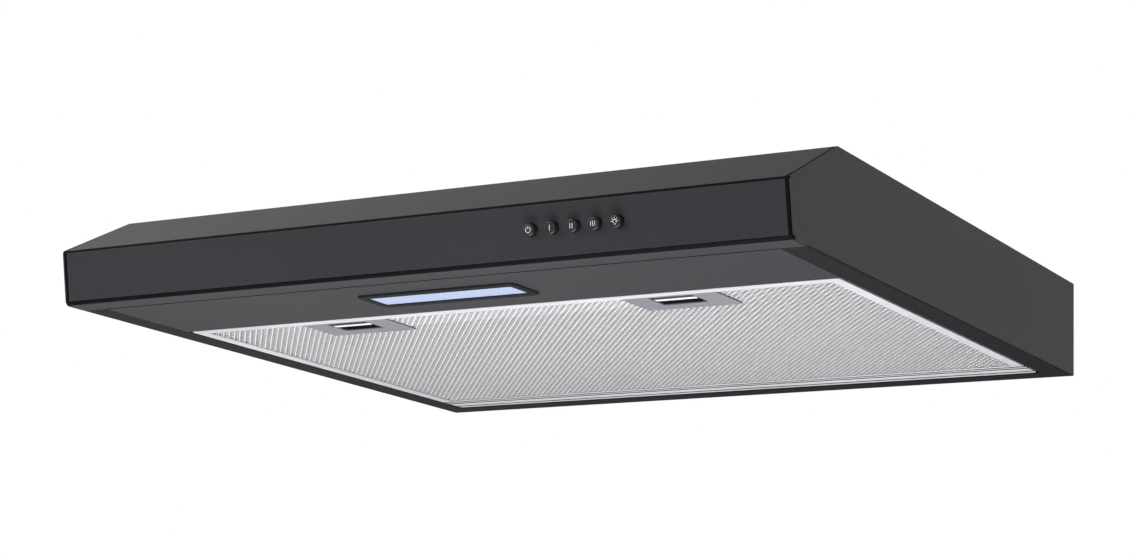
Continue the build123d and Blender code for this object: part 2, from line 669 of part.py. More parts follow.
with BuildPart() as motor_grommets:
    with BuildSketch(Plane.XY.offset(PLATE_LOW_Z + 1.5)):
        with Locations((0, FAN_Y)):
            with PolarLocations(MOTOR_SCREWS_R, 3, start_angle=90):
                Circle(6.0)
                Circle(2.0, mode=Mode.SUBTRACT)
    extrude(amount=1.5)
    with BuildSketch(Plane.XY.offset(FAN_TOP_Z - FAN_WALL)):
        with Locations((0, FAN_Y)):
            with PolarLocations(MOTOR_SCREWS_R, 3, start_angle=90):
                Circle(4.0)
                Circle(2.0, mode=Mode.SUBTRACT)
    extrude(amount=FAN_WALL)
finish(motor_grommets, "motor_grommets")

with BuildPart() as blower_posts:
    with BuildSketch(Plane.XY.offset(FAN_TOP_Z)):
        with Locations(*LUG_SPOTS):
            RegularPolygon(5, 6)
            Circle(2.0, mode=Mode.SUBTRACT)
    extrude(amount=-SHEET - FAN_TOP_Z)
finish(blower_posts, "blower_posts")

with BuildPart() as blower_screws:
    with BuildSketch(Plane.XY.offset(FAN_TOP_Z - FAN_WALL - 1.8)):
        with Locations(*LUG_SPOTS):
            Circle(4.0)
    extrude(amount=1.8)
    with BuildSketch(Plane.XY.offset(FAN_TOP_Z - FAN_WALL)):
        with Locations(*LUG_SPOTS):
            Circle(2.0)
    extrude(amount=FAN_WALL + 4.0)
    # the three that hang the motor plate on its grommets
    with BuildSketch(Plane.XY.offset(PLATE_LOW_Z - 1.6)):
        with Locations((0, FAN_Y)):
            with PolarLocations(MOTOR_SCREWS_R, 3, start_angle=90):
                Circle(4.2)
    extrude(amount=1.6)
    with BuildSketch(Plane.XY.offset(PLATE_LOW_Z)):
        with Locations((0, FAN_Y)):
            with PolarLocations(MOTOR_SCREWS_R, 3, start_angle=90):
                Circle(2.0)
    extrude(amount=6.6)
finish(blower_screws, "blower_screws")

# ---- duct: plenum behind the blower, collar and the two damper flaps --------------------
PLENUM_FRONT_Y = OUTLET_Y + FAN_WALL
PLENUM_REAR_Y = REAR_Y - 3 * SHEET
PLENUM_HALF = 128.0
with BuildPart() as duct_plenum:
    with BuildSketch(Plane.XY.offset(FAN_FLOOR_Z - FAN_WALL)):
        with Locations((0, (PLENUM_FRONT_Y + PLENUM_REAR_Y) / 2)):
            Rectangle(2 * PLENUM_HALF, PLENUM_REAR_Y - PLENUM_FRONT_Y)
    extrude(amount=-SHEET - FAN_FLOOR_Z + FAN_WALL)
    with BuildSketch(Plane.XY.offset(FAN_FLOOR_Z)):
        with Locations((0, (PLENUM_FRONT_Y + PLENUM_REAR_Y) / 2 + 1)):
            Rectangle(2 * PLENUM_HALF - 2 * FAN_WALL, PLENUM_REAR_Y - PLENUM_FRONT_Y - FAN_WALL + 2)
    extrude(amount=-SHEET - FAN_WALL - FAN_FLOOR_Z, mode=Mode.SUBTRACT)
    with BuildSketch(Plane.XY.offset(-SHEET - FAN_WALL)):
        with Locations((0, DUCT_Y)):
            Circle(DUCT_R - DUCT_WALL)
    extrude(amount=FAN_WALL, mode=Mode.SUBTRACT)
    outlet_low_x = scroll_point(SCROLL_START)[0]
    with BuildSketch(Plane.XZ.offset(-PLENUM_FRONT_Y)):
        with Locations(((outlet_low_x + SCROLL_R_MAX) / 2, (FAN_TOP_Z + FAN_FLOOR_Z - FAN_WALL) / 2)):
            Rectangle(SCROLL_R_MAX - outlet_low_x, FAN_TOP_Z - FAN_FLOOR_Z - FAN_WALL)
    extrude(amount=-FAN_WALL, mode=Mode.SUBTRACT)
finish(duct_plenum, "duct_plenum")

FLAP_R = DUCT_R - DUCT_WALL - 1.0
FLAP_OFFSET = 3.5
PIVOT_R = 1.5
PIVOTS = [(DUCT_Y - FLAP_OFFSET, FLAP_Z), (DUCT_Y + FLAP_OFFSET, FLAP_Z)]
with BuildPart() as collar_flange:
    with BuildSketch(Plane.XY):
        with Locations((0, DUCT_Y)):
            Circle(DUCT_R + 13)
            Circle(DUCT_R - DUCT_WALL, mode=Mode.SUBTRACT)
            with PolarLocations(DUCT_R + 7, 4, start_angle=45):
                Circle(1.7, mode=Mode.SUBTRACT)
    extrude(amount=DUCT_WALL)
finish(collar_flange, "collar_flange")

with BuildPart() as duct_collar:
    with BuildSketch(Plane.XY.offset(DUCT_WALL)):
        with Locations((0, DUCT_Y)):
            Circle(DUCT_R)
            Circle(DUCT_R - DUCT_WALL, mode=Mode.SUBTRACT)
    extrude(amount=COLLAR_HEIGHT - DUCT_WALL)
    with BuildSketch(Plane.XY.offset(FLAP_Z - 2.4)):
        with Locations((0, DUCT_Y - FLAP_R - 0.2), (0, DUCT_Y + FLAP_R + 0.2)):
            Rectangle(16, 3.5)
    extrude(amount=1.5)
    with BuildSketch(Plane.YZ.offset(-DUCT_R - 1)):
        with Locations(*PIVOTS):
            Circle(PIVOT_R + 0.05)
    extrude(amount=2 * DUCT_R + 2, mode=Mode.SUBTRACT)
finish(duct_collar, "duct_collar")


def damper_flap(sign, name):
    """Half-round flap hung on stub pins, lying on the collar's stop."""
    pivot_y = DUCT_Y + sign * FLAP_OFFSET
    with BuildPart() as flap:
        with BuildSketch(Plane.XY.offset(FLAP_Z - 0.5)):
            with Locations((0, DUCT_Y)):
                Circle(FLAP_R)
            with Locations((0, pivot_y - sign * FLAP_R)):
                Rectangle(3 * FLAP_R, 2 * FLAP_R, mode=Mode.SUBTRACT)
        extrude(amount=1)
        with BuildSketch(Plane.YZ.offset(-FLAP_R + 2)):
            with Locations((pivot_y, FLAP_Z)):
                Circle(PIVOT_R + 0.7)
        extrude(amount=2 * FLAP_R - 4)
        with BuildSketch(Plane.YZ.offset(-DUCT_R + 0.2)):
            with Locations((pivot_y, FLAP_Z)):
                Circle(PIVOT_R)
        extrude(amount=2 * DUCT_R - 0.4)
    finish(flap, name)


damper_flap(-1, "damper_flap_front")
damper_flap(1, "damper_flap_rear")

with BuildPart() as collar_screws:
    with BuildSketch(Plane.XY.offset(DUCT_WALL)):
        with Locations((0, DUCT_Y)):
            with PolarLocations(DUCT_R + 7, 4, start_angle=45):
                Circle(3.4)
    extrude(amount=1.8)
    fillet(collar_screws.edges().group_by(Axis.Z)[-1], radius=1.0)
    with BuildSketch(Plane.XY.offset(DUCT_WALL)):
        with Locations((0, DUCT_Y)):
            with PolarLocations(DUCT_R + 7, 4, start_angle=45):
                Circle(1.7)
    extrude(amount=-DUCT_WALL - SHEET - 3)
finish(collar_screws, "collar_screws")

# ---- electrics: terminal box, cable gland, capacitor, LED driver, leads ------------------
BOX_SIZE = (70.0, 80.0)
BOX_LOW_Z = -44.0
BOX_WALL = 1.6
with BuildPart() as terminal_box:
    with BuildSketch(Plane.XY.offset(BOX_LOW_Z)):
        with Locations(CABLE_SPOT):
            Rectangle(*BOX_SIZE)
    extrude(amount=-SHEET - BOX_LOW_Z)
    with BuildSketch(Plane.XY.offset(BOX_LOW_Z)):
        with Locations(CABLE_SPOT):
            Rectangle(BOX_SIZE[0] - 2 * BOX_WALL, BOX_SIZE[1] - 2 * BOX_WALL)
    extrude(amount=-SHEET - BOX_LOW_Z - BOX_WALL, mode=Mode.SUBTRACT)
    with Locations((*CABLE_SPOT, -SHEET)):
        Hole(radius=9.0, depth=BOX_WALL)
finish(terminal_box, "terminal_box")

with BuildPart() as terminal_cover:
    with BuildSketch(Plane.XY.offset(BOX_LOW_Z - 1.5)):
        with Locations(CABLE_SPOT):
            RectangleRounded(BOX_SIZE[0] + 2, BOX_SIZE[1] + 2, 3)
    extrude(amount=1.5)
finish(terminal_cover, "terminal_cover")

with BuildPart() as cover_screws:
    with BuildSketch(Plane.XY.offset(BOX_LOW_Z - 1.5)):
        with Locations(CABLE_SPOT):
            with GridLocations(56, 66, 2, 2):
                Circle(3)
    extrude(amount=-1.6)
    fillet(cover_screws.edges().group_by(Axis.Z)[0], radius=0.8)
finish(cover_screws, "cover_screws")

with BuildPart() as terminal_block:
    with BuildSketch(Plane.XY.offset(-18)):
        with Locations((CABLE_SPOT[0], CABLE_SPOT[1] - 22)):
            Rectangle(44, 18)
    extrude(amount=18 - SHEET - BOX_WALL)
    with BuildSketch(Plane.XY.offset(-18)):
        with Locations((CABLE_SPOT[0], CABLE_SPOT[1] - 22)):
            with GridLocations(10, 9, 4, 2):
                Circle(2.2)
    extrude(amount=5, mode=Mode.SUBTRACT)
finish(terminal_block, "terminal_block")

GLAND_BORE_R = 5.0
with BuildPart() as cable_gland:
    with BuildSketch(Plane.XY.offset(-8)):
        with Locations(CABLE_SPOT):
            Circle(8.9)
    extrude(amount=8)
    with BuildSketch(Plane.XY):
        with Locations(CABLE_SPOT):
            RegularPolygon(13, 6)
    extrude(amount=6)
    with BuildSketch(Plane.XY.offset(6)):
        with Locations(CABLE_SPOT):
            Circle(9.5)
    extrude(amount=8)
    fillet(cable_gland.edges().group_by(Axis.Z)[-1], radius=3)
    with Locations((*CABLE_SPOT, 14)):
        Hole(radius=GLAND_BORE_R, depth=22)
finish(cable_gland, "cable_gland")

CAPACITOR_SPOT = (-205.0, -17.0)
CAPACITOR_R = 15.0
with BuildPart() as capacitor:
    with BuildSketch(Plane.XZ.offset(-40)):
        with Locations(CAPACITOR_SPOT):
            Circle(CAPACITOR_R)
    extrude(amount=-62)
    fillet(capacitor.edges().filter_by(GeomType.CIRCLE), radius=2)
finish(capacitor, "capacitor")

with BuildPart() as capacitor_strap:
    with BuildSketch(Plane.XZ.offset(-64)):
        with Locations(CAPACITOR_SPOT):
            Circle(CAPACITOR_R + 1)
        with Locations((CAPACITOR_SPOT[0], -SHEET - 0.7)):
            Rectangle(48, 1.4)
        with Locations(CAPACITOR_SPOT):
            Circle(CAPACITOR_R + 0.2, mode=Mode.SUBTRACT)
        with Locations((CAPACITOR_SPOT[0], 5 - SHEET)):
            Rectangle(60, 10, mode=Mode.SUBTRACT)
    extrude(amount=-14)
finish(capacitor_strap, "capacitor_strap")

DRIVER_SPOT = (95.0, -196.0)
DRIVER_SIZE = (70.0, 30.0)
DRIVER_LOW_Z = -24.0
with BuildPart() as led_driver:
    with BuildSketch(Plane.XY.offset(DRIVER_LOW_Z)):
        with Locations(DRIVER_SPOT):
            RectangleRounded(*DRIVER_SIZE, 2)
    extrude(amount=-SHEET - DRIVER_LOW_Z)
    fillet(led_driver.edges().group_by(Axis.Z)[0], radius=1.2)
finish(led_driver, "led_driver")

LEAD_R = 1.8
LEAD_Z = -3.4


def lead(name, points, bends):
    """Round insulated lead: straight runs joined by tangent arcs."""
    with BuildPart() as wire:
        with BuildLine() as route:
            FilletPolyline(*points, radius=bends)
        with BuildSketch(Plane(origin=route.line @ 0, z_dir=route.line % 0)):
            Circle(LEAD_R)
        sweep()
    finish(wire, name)


box_wall_x = CABLE_SPOT[0] - BOX_SIZE[0] / 2
driver_end_x = DRIVER_SPOT[0] + DRIVER_SIZE[0] / 2
lead(
    "motor_lead",
    [(box_wall_x, 104, LEAD_Z), (150, 40, LEAD_Z), (64, -34, LEAD_Z), (30, FAN_Y, LEAD_Z),
     (30, FAN_Y, PLATE_LOW_Z)],
    [30, 30, 1.6],
)
driver_y = DRIVER_SPOT[1]
lead(
    "mains_lead",
    [(box_wall_x, 96, -14), (165, 70, -14), (165, driver_y + 40, -14), (driver_end_x, driver_y + 6, -14)],
    [22, 22],
)
lead(
    "lamp_lead",
    [(DRIVER_SPOT[0] - DRIVER_SIZE[0] / 2, driver_y, -14), (34, driver_y, -14), (34, LAMP_Y, -40),
     (34, LAMP_Y, HOUSING_TOP_Z)],
    [8, 12],
)
switch_back = FASCIA.offset(-SWITCH_FACE - SWITCH_DEPTH).location * Location((BUTTON_MIDDLE_X, 0, 0))
lead(
    "switch_lead",
    [tuple(switch_back.position), (BUTTON_MIDDLE_X, -238, -44), (BUTTON_MIDDLE_X, -225, -16),
     (driver_end_x, driver_y - 8, -16)],
    [10, 10],
)
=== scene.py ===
"""Looks of a slim under-cabinet range hood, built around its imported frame. Metres, +Z up, -Y front."""
import json
import math

import bpy
import numpy as np
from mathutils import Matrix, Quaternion, Vector


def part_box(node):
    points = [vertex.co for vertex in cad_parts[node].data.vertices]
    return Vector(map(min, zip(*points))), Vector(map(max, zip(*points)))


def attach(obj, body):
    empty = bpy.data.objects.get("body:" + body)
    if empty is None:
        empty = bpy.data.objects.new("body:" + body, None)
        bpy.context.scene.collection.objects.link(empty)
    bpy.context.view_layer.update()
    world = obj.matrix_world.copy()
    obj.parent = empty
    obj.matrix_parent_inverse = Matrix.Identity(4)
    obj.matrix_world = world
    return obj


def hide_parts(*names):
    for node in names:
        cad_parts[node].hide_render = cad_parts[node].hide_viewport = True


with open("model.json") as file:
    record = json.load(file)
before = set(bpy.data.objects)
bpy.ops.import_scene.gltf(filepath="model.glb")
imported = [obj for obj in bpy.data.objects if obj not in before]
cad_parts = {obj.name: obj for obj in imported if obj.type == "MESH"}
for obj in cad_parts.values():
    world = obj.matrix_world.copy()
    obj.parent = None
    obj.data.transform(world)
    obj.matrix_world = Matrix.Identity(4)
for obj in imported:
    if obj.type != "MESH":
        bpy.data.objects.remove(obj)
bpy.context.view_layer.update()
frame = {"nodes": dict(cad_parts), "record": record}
NODES = frame["nodes"]
MM = 0.001

# ---- places read from the frame -----------------------------------------------------------
FRAME_LO, FRAME_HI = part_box("filter_frame")
MESH_LO, MESH_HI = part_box("filter_mesh_lower")
CUPS = [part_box("latch_plate_left"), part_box("latch_plate_right")]


def joint_axis(name):
    """Unit axis of a joint of the record."""
    for joint in frame["record"]["behaviour"]["joints"]:
        if joint["name"] == name:
            return Vector(joint["axis"]).normalized()
    raise ValueError(name)


# ---- zones of the painted sheet where shade is painted in: darker colour and less gloss ------
UNDERSIDE_Z = -0.0754
FOOT_TOP_Z = -0.0732
FOOT_BACK_Y = -0.2795
BROW_Z = (-0.0385, -0.0368)
BROW_BACK_Y = -0.2885
CORNER_BACK_Y = -0.2805
SEAM_X = (0.2974, 0.29905)
CORNER_X = (0.2963, 0.29905)
PANEL_JOINT_Y = (-0.2626, -0.2606)
FLANGE_FROM_X = 0.28
FLANGE_FRONT_Y = -0.262
LIP_FROM_Y = 0.2
FLANGE_SHADE_SHARE = 0.8
PAINTED_SHADE_DARKEST = 0.2
PAINT_GLOSS = 0.14
SHADE_GLOSS_LOSS = 0.9

# ---- painted shade lines of the filter frame's rear border, and heights of the painted shadow in the latch recesses ---
WINDOW_EDGE_Y = (0.1680, 0.1712)
FIRST_GROOVE_Y = (0.1750, 0.1780)
LAST_GROOVE_Y = (0.1880, 0.1910)
BORDER_TOP_Z = -0.0749
BORDER_SHADE_DARKEST = 0.04
CUP_MOUTH_Z = -0.0754
CUP_FADE = 0.5 * MM
TAB_RIM_Z = -0.0758
TAB_FADE = 0.2 * MM
TAB_FRONT_Y = -0.1512
RECESS_SHADOW_DARKEST = 0.04


# ---- materials ------------------------------------------------------------------------------
def new_material(name, colour, roughness, metallic=0.0):
    """Principled material with plain values; returns the material, its tree and its shader."""
    material = bpy.data.materials.new(name)
    material.use_nodes = True
    tree = material.node_tree
    shader = tree.nodes["Principled BSDF"]
    shader.inputs["Base Color"].default_value = (*colour, 1.0)
    shader.inputs["Roughness"].default_value = roughness
    shader.inputs["Metallic"].default_value = metallic
    return material, tree, shader


def object_noise(tree, scale, detail=3.0, stretch=(1, 1, 1)):
    """Noise on Object coordinates, stretched by a Mapping node; returns the noise node."""
    coords = tree.nodes.new("ShaderNodeTexCoord")
    mapping = tree.nodes.new("ShaderNodeMapping")
    noise = tree.nodes.new("ShaderNodeTexNoise")
    mapping.inputs["Scale"].default_value = stretch
    noise.inputs["Scale"].default_value = scale
    noise.inputs["Detail"].default_value = detail
    tree.links.new(coords.outputs["Object"], mapping.inputs["Vector"])
    tree.links.new(mapping.outputs["Vector"], noise.inputs["Vector"])
    return noise


def tone_ramp(tree, noise, low, high, low_at=0.3, high_at=0.7):
    """Colour socket that drifts between two tones with the noise."""
    ramp = tree.nodes.new("ShaderNodeValToRGB")
    ramp.color_ramp.elements[0].position = low_at
    ramp.color_ramp.elements[1].position = high_at
    ramp.color_ramp.elements[0].color = (*low, 1)
    ramp.color_ramp.elements[1].color = (*high, 1)
    tree.links.new(noise.outputs["Fac"], ramp.inputs["Fac"])
    return ramp.outputs["Color"]


def vary_roughness(tree, shader, noise, low, high):
    """Roughness between two values with the noise."""
    spread = tree.nodes.new("ShaderNodeMapRange")
    spread.inputs["From Min"].default_value = 0.3
    spread.inputs["From Max"].default_value = 0.7
    spread.inputs["To Min"].default_value = low
    spread.inputs["To Max"].default_value = high
    tree.links.new(noise.outputs["Fac"], spread.inputs["Value"])
    tree.links.new(spread.outputs["Result"], shader.inputs["Roughness"])


def add_bump(tree, shader, noise, strength, distance):
    """Fine relief from the noise."""
    bump = tree.nodes.new("ShaderNodeBump")
    bump.inputs["Strength"].default_value = strength
    bump.inputs["Distance"].default_value = distance
    tree.links.new(noise.outputs["Fac"], bump.inputs["Height"])
    tree.links.new(bump.outputs["Normal"], shader.inputs["Normal"])


def grained(name, low, high, rough, metallic=0.0, grain=900.0, relief=0.15, distance=0.0001,
            stretch=(1, 1, 1), patch=6.0, gloss=0.5):
    """Finish with a slow drift of tone and a fine grain in its gloss and relief."""
    material, tree, shader = new_material(name, low, rough[0], metallic)
    drift = object_noise(tree, patch, 4.0)
    tree.links.new(tone_ramp(tree, drift, low, high), shader.inputs["Base Color"])
    grain_noise = object_noise(tree, grain, 2.0, stretch)
    vary_roughness(tree, shader, grain_noise, *rough)
    add_bump(tree, shader, grain_noise, relief, distance)
    shader.inputs["Specular IOR Level"].default_value = gloss
    return material


def math_node(tree, operation, *values, clamp=False):
    """A Math node fed by sockets or plain numbers; returns its output socket."""
    node = tree.nodes.new("ShaderNodeMath")
    node.operation = operation
    node.use_clamp = clamp
    for index, value in enumerate(values):
        if isinstance(value, (int, float)):
            node.inputs[index].default_value = value
        else:
            tree.links.new(value, node.inputs[index])
    return node.outputs[0]


def fold(tree, operation, *values):
    """Several values joined two by two with one Math operation."""
    result = values[0]
    for value in values[1:]:
        result = math_node(tree, operation, result, value)
    return result


def between(tree, value, low, high):
    """1 where the value lies between two limits, else 0."""
    above = math_node(tree, "GREATER_THAN", value, low)
    below = math_node(tree, "LESS_THAN", value, high)
    return math_node(tree, "MULTIPLY", above, below)


def place_axes(tree):
    """X, Y and Z sockets of the place on the object, in metres."""
    coords = tree.nodes.new("ShaderNodeTexCoord")
    split = tree.nodes.new("ShaderNodeSeparateXYZ")
    tree.links.new(coords.outputs["Object"], split.inputs["Vector"])
    return split.outputs["X"], split.outputs["Y"], split.outputs["Z"]


def shade_by(tree, shade_share, darkest):
    """Paint shade into the base colour: multiply it by a level that falls from 1 at shade_share 0 to darkest
    at shade_share 1.
    """
    colour_input = tree.nodes["Principled BSDF"].inputs["Base Color"]
    scale = tree.nodes.new("ShaderNodeVectorMath")
    scale.operation = "SCALE"
    tree.links.new(colour_input.links[0].from_socket, scale.inputs[0])
    tree.links.new(math_node(tree, "MULTIPLY_ADD", shade_share, darkest - 1.0, 1.0), scale.inputs["Scale"])
    tree.links.new(scale.outputs[0], colour_input)


def satin_paint_and_shade():
    """Dark grey satin powder coat with a faint orange peel; painted shade darkens it and cuts its gloss at
    its seams, bends and flanges.
    """
    material = grained("satin_grey_paint_and_shade", (0.022, 0.0225, 0.0255), (0.027, 0.0275, 0.0305), (0.34, 0.40),
                       grain=700.0, relief=0.06, distance=0.00006, patch=3.0)
    tree = material.node_tree
    x, y, z = place_axes(tree)
    across = math_node(tree, "ABSOLUTE", x)
    below = math_node(tree, "LESS_THAN", z, UNDERSIDE_Z)
    raised = math_node(tree, "GREATER_THAN", z, UNDERSIDE_Z)
    foot = fold(tree, "MULTIPLY", math_node(tree, "LESS_THAN", z, FOOT_TOP_Z),
                math_node(tree, "LESS_THAN", y, FOOT_BACK_Y))
    brow = fold(tree, "MULTIPLY", between(tree, z, *BROW_Z), math_node(tree, "LESS_THAN", y, BROW_BACK_Y))
    seam = fold(tree, "MULTIPLY", between(tree, across, *SEAM_X), raised)
    corner = fold(tree, "MULTIPLY", between(tree, across, *CORNER_X), raised,
                  math_node(tree, "LESS_THAN", y, CORNER_BACK_Y))
    side_flange = fold(tree, "MULTIPLY", math_node(tree, "GREATER_THAN", across, FLANGE_FROM_X), below,
                       math_node(tree, "GREATER_THAN", y, FLANGE_FRONT_Y))
    rear_lip = fold(tree, "MULTIPLY", below, math_node(tree, "GREATER_THAN", y, LIP_FROM_Y))
    flanges = math_node(tree, "MULTIPLY", fold(tree, "MAXIMUM", side_flange, rear_lip), FLANGE_SHADE_SHARE)
    joint = fold(tree, "MULTIPLY", between(tree, y, *PANEL_JOINT_Y), below,
                 math_node(tree, "LESS_THAN", across, FLANGE_FROM_X))
    # painted shade: groove shadows at the seams and corners, dark bend lines at the foot and brow, shade on
    # the flanges and at the panel joint
    shade_share = fold(tree, "MAXIMUM", foot, brow, seam, corner, joint, flanges)
    shade_by(tree, shade_share, PAINTED_SHADE_DARKEST)
    gloss = math_node(tree, "MULTIPLY_ADD", shade_share, -SHADE_GLOSS_LOSS * PAINT_GLOSS, PAINT_GLOSS)
    tree.links.new(gloss, tree.nodes["Principled BSDF"].inputs["Specular IOR Level"])
    return material


def shaded_recess(name, low, high, rough, mouth_z, fade, front_y=-1.0):
    """Grained plastic with painted shadow: nearly black above mouth_z, over the height fade, and in front
    of front_y, where the real recess lies in shade."""
    material = grained(name, low, high, rough, grain=1500.0, relief=0.2, gloss=0.3)
    tree = material.node_tree
    _, y, z = place_axes(tree)
    depth = math_node(tree, "MULTIPLY_ADD", z, 1 / fade, -mouth_z / fade, clamp=True)
    shade_by(tree, fold(tree, "MAXIMUM", depth, math_node(tree, "LESS_THAN", y, front_y)), RECESS_SHADOW_DARKEST)
    return material


def rolled_aluminium_and_shade():
    """Bright rolled aluminium with a lengthwise grain. On the rear border painted shade darkens it at the
    window's edge and in the first and last groove."""
    material = grained("rolled_aluminium_and_shade", (0.62, 0.62, 0.65), (0.70, 0.70, 0.73), (0.3, 0.42), 0.35,
                       grain=240.0, relief=0.1, stretch=(0.08, 1, 1), patch=14.0)
    tree = material.node_tree
    _, y, z = place_axes(tree)
    lines = [between(tree, y, *span) for span in (WINDOW_EDGE_Y, FIRST_GROOVE_Y, LAST_GROOVE_Y)]
    on_face = math_node(tree, "LESS_THAN", z, BORDER_TOP_Z)
    shade_by(tree, math_node(tree, "MULTIPLY", fold(tree, "MAXIMUM", *lines), on_face), BORDER_SHADE_DARKEST)
    return material


def lit_lens():
    """Frosted lamp lens, lit cool white, with a fine prism grain."""
    material, tree, shader = new_material("lit_lens", (0.05, 0.05, 0.06), 0.35)
    noise = object_noise(tree, 420.0, 2.0)
    glow = tone_ramp(tree, noise, (0.40, 0.50, 0.74), (0.54, 0.62, 0.86), 0.35, 0.65)
    tree.links.new(glow, shader.inputs["Emission Color"])
    shader.inputs["Emission Strength"].default_value = 0.92
    add_bump(tree, shader, noise, 0.3, 0.0002)
    return material


FINISHES = {
    "painted_sheet": satin_paint_and_shade(),
    "galvanised": grained("zinc_sheet", (0.42, 0.43, 0.45), (0.55, 0.56, 0.58), (0.32, 0.5), 0.9,
                          grain=160.0, relief=0.08, patch=40.0),
    "fasteners": grained("zinc_screw", (0.5, 0.5, 0.52), (0.62, 0.62, 0.64), (0.25, 0.4), 1.0, patch=90.0),
    "lamp_trim": grained("lamp_trim_black", (0.008, 0.008, 0.009), (0.012, 0.012, 0.014), (0.3, 0.38),
                         grain=1200.0, relief=0.05, gloss=0.03),
    "lamp_glow": lit_lens(),
    "board_white": grained("board_white", (0.75, 0.76, 0.76), (0.82, 0.83, 0.83), (0.4, 0.5)),
    "led_chips": grained("led_phosphor", (0.8, 0.7, 0.25), (0.9, 0.8, 0.35), (0.2, 0.3)),
    "dark_plastic": grained("moulded_black", (0.016, 0.016, 0.018), (0.024, 0.024, 0.026), (0.42, 0.55),
                            grain=1400.0, relief=0.18),
    "filter_aluminium": rolled_aluminium_and_shade(),
    "filter_mesh": grained("mesh_aluminium", (0.80, 0.80, 0.82), (0.98, 0.98, 0.99), (0.28, 0.42), 0.25,
                           grain=500.0, relief=0.12, patch=330.0),
    "latch_plate": shaded_recess("latch_grey_with_shadow", (0.155, 0.158, 0.180), (0.185, 0.188, 0.21), (0.42, 0.55),
                                 CUP_MOUTH_Z, CUP_FADE),
    "latch_tab": shaded_recess("latch_tab_pale_with_shadow", (0.70, 0.70, 0.73), (0.78, 0.78, 0.81), (0.25, 0.35),
                               TAB_RIM_Z, TAB_FADE, TAB_FRONT_Y),
    "button_black": grained("button_black", (0.008, 0.008, 0.009), (0.013, 0.013, 0.014), (0.2, 0.3),
                            grain=2200.0, relief=0.06),
    "contacts": grained("contact_brass", (0.62, 0.46, 0.2), (0.7, 0.54, 0.26), (0.25, 0.35), 1.0),
    "wheel_plastic": grained("wheel_grey", (0.09, 0.09, 0.095), (0.12, 0.12, 0.125), (0.4, 0.55)),
    "motor_steel": grained("motor_steel", (0.4, 0.4, 0.42), (0.5, 0.5, 0.52), (0.3, 0.42), 1.0, patch=30.0),
    "rubber_black": grained("rubber_black", (0.02, 0.02, 0.02), (0.03, 0.03, 0.03), (0.7, 0.85)),
    "white_plastic": grained("moulded_white", (0.72, 0.72, 0.7), (0.8, 0.8, 0.78), (0.4, 0.5)),
    "lead_jacket": grained("lead_jacket", (0.08, 0.08, 0.085), (0.1, 0.1, 0.105), (0.45, 0.6)),
}
# painted shade: the filter's core is coloured near black to stand for the shade seen through the mesh's holes
CORE_SHADE = grained("mesh_core_shade", (0.02, 0.02, 0.022), (0.05, 0.05, 0.055), (0.4, 0.6), 0.3,
                     grain=300.0, relief=0.4, distance=0.0006, patch=420.0)
MARK_WHITE = grained("mark_white", (0.5, 0.5, 0.52), (0.62, 0.62, 0.64), (0.35, 0.45), grain=1500.0)


def dress_frame():
    """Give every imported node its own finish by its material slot; the filter's core is a dark one."""
    for entry in frame["record"]["subparts"]:
        mesh = NODES[entry["node"]].data
        finish = FINISHES[entry["material_slot"]]
        if not mesh.materials:
            mesh.materials.append(finish)
        for index in range(len(mesh.materials)):
            mesh.materials[index] = finish
    NODES["filter_core"].data.materials[0] = CORE_SHADE


# ---- mesh helpers -----------------------------------------------------------------------------
def build_piece(name, points, quads, material, smooth=True):
    """One object at the origin from an (n, 3) array of points and an (m, 4) array of corner numbers."""
    mesh = bpy.data.meshes.new(name)
    mesh.vertices.add(len(points))
    mesh.vertices.foreach_set("co", np.asarray(points, np.float32).ravel())
    mesh.loops.add(quads.size)
    mesh.loops.foreach_set("vertex_index", quads.astype(np.int32).ravel())
    mesh.polygons.add(len(quads))
    mesh.polygons.foreach_set("loop_start", np.arange(0, quads.size, 4, dtype=np.int32))
    mesh.polygons.foreach_set("loop_total", np.full(len(quads), 4, np.int32))
    mesh.polygons.foreach_set("use_smooth", np.full(len(quads), smooth))
    mesh.update(calc_edges=True)
    mesh.validate()
    mesh.materials.append(material)
    piece = bpy.data.objects.new(name, mesh)
    bpy.context.scene.collection.objects.link(piece)
    return piece


def tube_quads(rings, around):
    """Corner numbers of a closed tube of rings, each of around points, with an end cap of four points."""
    ring = np.arange(rings - 1)[:, None] * around
    step = np.arange(around)[None, :]
    after = (step + 1) % around
    walls = np.stack([ring + step, ring + after, ring + around + after, ring + around + step], -1)
    last = (rings - 1) * around
    ends = np.array([[3, 2, 1, 0], [last, last + 1, last + 2, last + 3]])
    return np.concatenate([walls.reshape(-1, 4), ends])


def join_tubes(tubes):
    """Points and quads of several tubes as one pair of arrays."""
    points, quads, used = [], [], 0
    for some, faces in tubes:
        points.append(some)
        quads.append(faces + used)
        used += len(some)
    return np.concatenate(points), np.concatenate(quads)


# ---- expanded-metal mesh ------------------------------------------------------------------------
LONG_WAY = 5.3 * MM
ROW_PITCH = 3.15 * MM
STRAND_WIDTH = 1.12 * MM
STRAND_THICK = 0.12 * MM
STRAND_TILT = math.radians(4.0)
STRAND_TWIST = 0.22
KNOT_WIDENING = 0.35
KNOT_LIFT = 0.1 * MM
STATIONS = 4
SHEET_Z = MESH_LO[2] + 0.3 * MM
SHEET_PARTS = 2
BORDER_SIDE = 9.0 * MM
BORDER_FRONT = 9.0 * MM
BORDER_REAR = 28.0 * MM
SIDE_TUCK = 1.6 * MM
REAR_TUCK = 2.6 * MM
CUP_HALF = 20.0 * MM
CUP_DEPTH = 32.5 * MM


